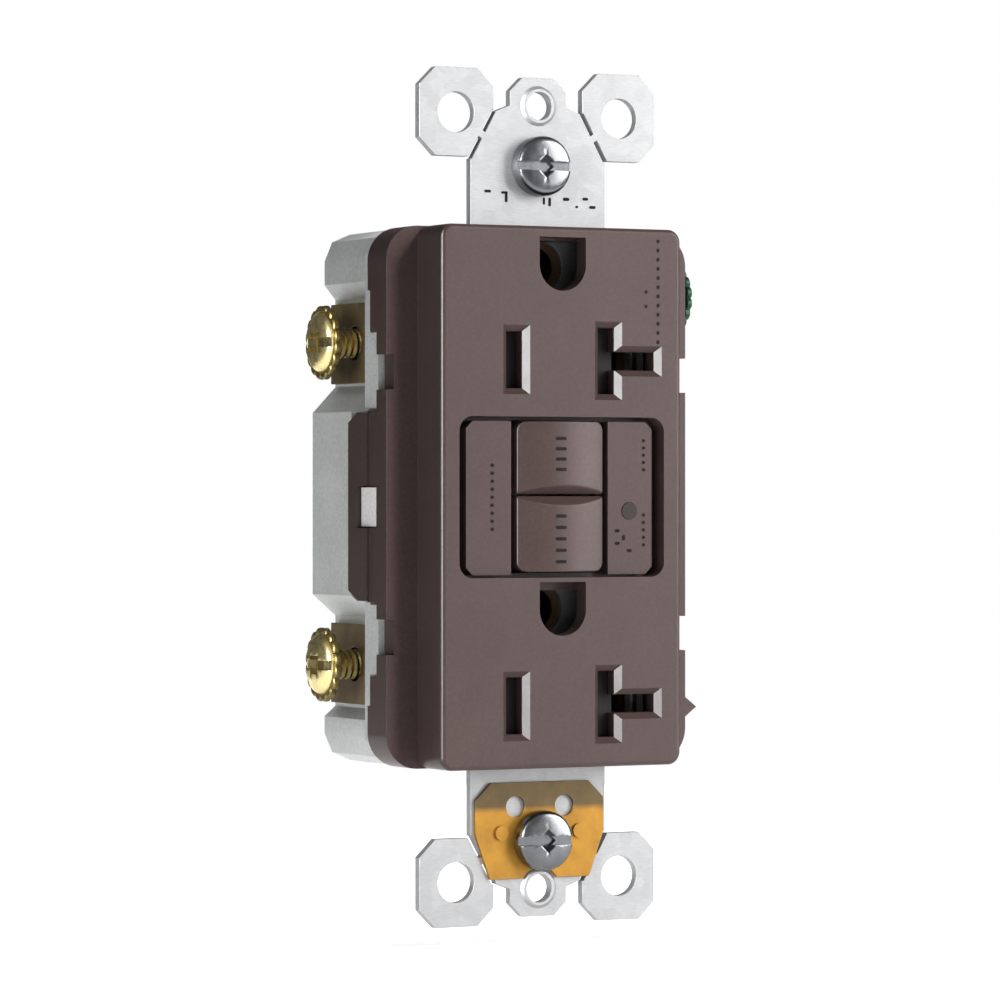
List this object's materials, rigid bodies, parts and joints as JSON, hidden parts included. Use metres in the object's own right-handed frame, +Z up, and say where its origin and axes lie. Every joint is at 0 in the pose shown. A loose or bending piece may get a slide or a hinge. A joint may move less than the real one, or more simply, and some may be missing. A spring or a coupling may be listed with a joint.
{
  "type": "ground-fault receptacle",
  "caption": "Decorator-style ground-fault duplex receptacle with T-slots, test and reset buttons, a strap with break-off ears and side screw terminals.",
  "frame": {"origin": "middle of the mounting strap's rear plane, which lies against the wall box or wall", "axes": "+X to the right seen from the room, -Y out of the wall into the room, +Y into the wall box, +Z up with the ground holes uppermost"},
  "size_m": [0.0484, 0.033, 0.1056],
  "materials": {
    "cover_brown": "satin moulded nylon",
    "button_brown": "satin moulded nylon",
    "body_grey": "fine moulded texture",
    "frame_white": "satin",
    "zinc_steel": "bright zinc plated, rolled",
    "screw_steel": "bright zinc plated",
    "clip_brass": "tumbled",
    "terminal_brass": "tumbled, dulled",
    "screw_brass": "bright dipped",
    "terminal_silver": "nickel plated",
    "screw_silver": "nickel plated",
    "screw_green": "green dyed plating",
    "fibre": "pressed fibre",
    "contact_bronze": "rolled phosphor bronze",
    "spring_steel": "drawn wire",
    "mechanism_black": "moulded",
    "mechanism_natural": "moulded",
    "coil_copper": "enamelled wire",
    "board_green": "solder mask",
    "ring_plastic": "moulded",
    "varistor_blue": "dipped coating",
    "resin_black": "moulded resin",
    "resistor_tan": "lacquered",
    "pipe_clear": "clear moulded",
    "lamp_green": "tinted",
    "shutter_dark": "moulded"
  },
  "bodies": {
    "device": {"front_cover": "cover_brown", "mounting_strap": "zinc_steel", "self_ground_clip": "clip_brass", "clip_rivets": "clip_brass", "retaining_washers": "fibre", "middle_frame": "frame_white", "back_cover": "body_grey", "assembly_screws": "screw_steel", "hot_contact_strip": "contact_bronze", "neutral_contact_strip": "contact_bronze", "upper_ground_contact": "contact_bronze", "lower_ground_contact": "contact_bronze", "ground_terminal": "zinc_steel", "test_spring": "spring_steel", "reset_spring": "spring_steel", "plunger_spring": "spring_steel", "shutter_springs": "spring_steel", "solenoid_bobbin": "mechanism_natural", "solenoid_coil": "coil_copper", "circuit_board": "board_green", "sense_transformer": "ring_plastic", "ground_transformer": "ring_plastic", "varistor": "varistor_blue", "capacitors": "resin_black", "switching_thyristor": "resin_black", "control_chip": "resin_black", "resistors": "resistor_tan", "diodes": "resin_black", "light_pipe": "pipe_clear", "indicator_lamp": "lamp_green", "load_hot_terminal": "terminal_brass", "line_hot_terminal": "terminal_brass", "load_neutral_terminal": "terminal_silver", "line_neutral_terminal": "terminal_silver"},
    "test_button": {"test_button": "button_brown"},
    "reset_button": {"reset_button": "button_brown", "reset_pin": "spring_steel"},
    "lifter": {"lifter": "mechanism_black"},
    "latch": {"latch": "spring_steel"},
    "plunger": {"plunger": "screw_steel"},
    "hot_contact_arm": {"hot_contact_arm": "contact_bronze"},
    "neutral_contact_arm": {"neutral_contact_arm": "contact_bronze"},
    "test_blade": {"test_blade": "contact_bronze"},
    "upper_shutter": {"upper_shutter": "shutter_dark"},
    "lower_shutter": {"lower_shutter": "shutter_dark"},
    "upper_mounting_screw": {"upper_mounting_screw": "screw_steel"},
    "lower_mounting_screw": {"lower_mounting_screw": "screw_steel"},
    "ground_terminal_screw": {"ground_terminal_screw": "screw_green"},
    "load_hot_terminal_screw": {"load_hot_terminal_screw": "screw_brass"},
    "load_hot_pressure_plate": {"load_hot_pressure_plate": "terminal_brass"},
    "line_hot_terminal_screw": {"line_hot_terminal_screw": "screw_brass"},
    "line_hot_pressure_plate": {"line_hot_pressure_plate": "terminal_brass"},
    "load_neutral_terminal_screw": {"load_neutral_terminal_screw": "screw_silver"},
    "load_neutral_pressure_plate": {"load_neutral_pressure_plate": "terminal_silver"},
    "line_neutral_terminal_screw": {"line_neutral_terminal_screw": "screw_silver"},
    "line_neutral_pressure_plate": {"line_neutral_pressure_plate": "terminal_silver"}
  },
  "joints": [
    {"name": "test_press", "type": "slide", "parent": "device", "child": "test_button", "axis": [0, 1, 0], "range_m": [0, 0.0012], "stiffness_N_per_m": 700, "springref_m": -0.0012, "deforming": ["test_spring"]},
    {"name": "reset_press", "type": "slide", "parent": "device", "child": "reset_button", "axis": [0, 1, 0], "range_m": [-0.0008, 0.0013], "stiffness_N_per_m": 800, "deforming": ["reset_spring"]},
    {"name": "test_blade_bend", "type": "hinge", "parent": "device", "child": "test_blade", "pos_m": [0, 0.00325, 0.0138], "axis": [1, 0, 0], "range_deg": [0, 10.8]},
    {"name": "lifter_trip", "type": "slide", "parent": "device", "child": "lifter", "axis": [0, 1, 0], "range_m": [0, 0.002]},
    {"name": "hot_arm_open", "type": "hinge", "parent": "device", "child": "hot_contact_arm", "pos_m": [-0.0103, 0.00825, -0.0195], "axis": [-1, 0, 0], "range_deg": [0, 5.7]},
    {"name": "neutral_arm_open", "type": "hinge", "parent": "device", "child": "neutral_contact_arm", "pos_m": [0.0103, 0.00825, -0.0195], "axis": [-1, 0, 0], "range_deg": [0, 5.7]},
    {"name": "plunger_stroke", "type": "slide", "parent": "device", "child": "plunger", "axis": [0, 0, 1], "range_m": [0, 0.0012], "stiffness_N_per_m": 120, "springref_m": -0.0008, "deforming": ["plunger_spring"]},
    {"name": "latch_slide", "type": "slide", "parent": "lifter", "child": "latch", "axis": [0, 0, 1], "range_m": [0, 0.0012]},
    {"name": "upper_shutter_slide", "type": "slide", "parent": "device", "child": "upper_shutter", "axis": [-1, 0, 0], "range_m": [0, 0.003], "stiffness_N_per_m": 80, "springref_m": -0.0015, "deforming": ["shutter_springs"]},
    {"name": "lower_shutter_slide", "type": "slide", "parent": "device", "child": "lower_shutter", "axis": [-1, 0, 0], "range_m": [0, 0.003], "stiffness_N_per_m": 80, "springref_m": -0.0015, "deforming": ["shutter_springs"]},
    {"name": "upper_mounting_screw_turn", "type": "hinge", "parent": "device", "child": "upper_mounting_screw", "pos_m": [0, 0, 0.04092], "axis": [0, 1, 0], "continuous": true},
    {"name": "lower_mounting_screw_turn", "type": "hinge", "parent": "device", "child": "lower_mounting_screw", "pos_m": [0, 0, -0.04242], "axis": [0, 1, 0], "continuous": true},
    {"name": "ground_screw_turn", "type": "hinge", "parent": "device", "child": "ground_terminal_screw", "pos_m": [0.0186, 0.0053, 0.0252], "axis": [-1, 0, 0], "range_deg": [0, 900]},
    {"name": "load_hot_clamp_slide", "type": "slide", "parent": "device", "child": "load_hot_pressure_plate", "axis": [-1, 0, 0], "range_m": [0, 0.00198]},
    {"name": "load_hot_screw_turn", "type": "hinge", "parent": "device", "child": "load_hot_terminal_screw", "pos_m": [-0.0186, 0.01275, 0.0192], "axis": [1, 0, 0], "range_deg": [0, 900]},
    {"name": "line_hot_clamp_slide", "type": "slide", "parent": "device", "child": "line_hot_pressure_plate", "axis": [-1, 0, 0], "range_m": [0, 0.00198]},
    {"name": "line_hot_screw_turn", "type": "hinge", "parent": "device", "child": "line_hot_terminal_screw", "pos_m": [-0.0186, 0.01275, -0.0208], "axis": [1, 0, 0], "range_deg": [0, 900]},
    {"name": "load_neutral_clamp_slide", "type": "slide", "parent": "device", "child": "load_neutral_pressure_plate", "axis": [1, 0, 0], "range_m": [0, 0.00198]},
    {"name": "load_neutral_screw_turn", "type": "hinge", "parent": "device", "child": "load_neutral_terminal_screw", "pos_m": [0.0186, 0.01275, 0.0192], "axis": [-1, 0, 0], "range_deg": [0, 900]},
    {"name": "line_neutral_clamp_slide", "type": "slide", "parent": "device", "child": "line_neutral_pressure_plate", "axis": [1, 0, 0], "range_m": [0, 0.00198]},
    {"name": "line_neutral_screw_turn", "type": "hinge", "parent": "device", "child": "line_neutral_terminal_screw", "pos_m": [0.0186, 0.01275, -0.0208], "axis": [-1, 0, 0], "range_deg": [0, 900]}
  ],
  "couplings": [
    {"joint": "test_blade_bend", "follows": "test_press", "rad_per_m": 155},
    {"joint": "hot_arm_open", "follows": "lifter_trip", "rad_per_m": 48.8},
    {"joint": "neutral_arm_open", "follows": "lifter_trip", "rad_per_m": 48.8},
    {"joint": "latch_slide", "follows": "plunger_stroke", "ratio": 1},
    {"joint": "load_hot_screw_turn", "follows": "load_hot_clamp_slide", "rad_per_m": 7915.8},
    {"joint": "line_hot_screw_turn", "follows": "line_hot_clamp_slide", "rad_per_m": 7915.8},
    {"joint": "load_neutral_screw_turn", "follows": "load_neutral_clamp_slide", "rad_per_m": 7915.8},
    {"joint": "line_neutral_screw_turn", "follows": "line_neutral_clamp_slide", "rad_per_m": 7915.8}
  ]
}
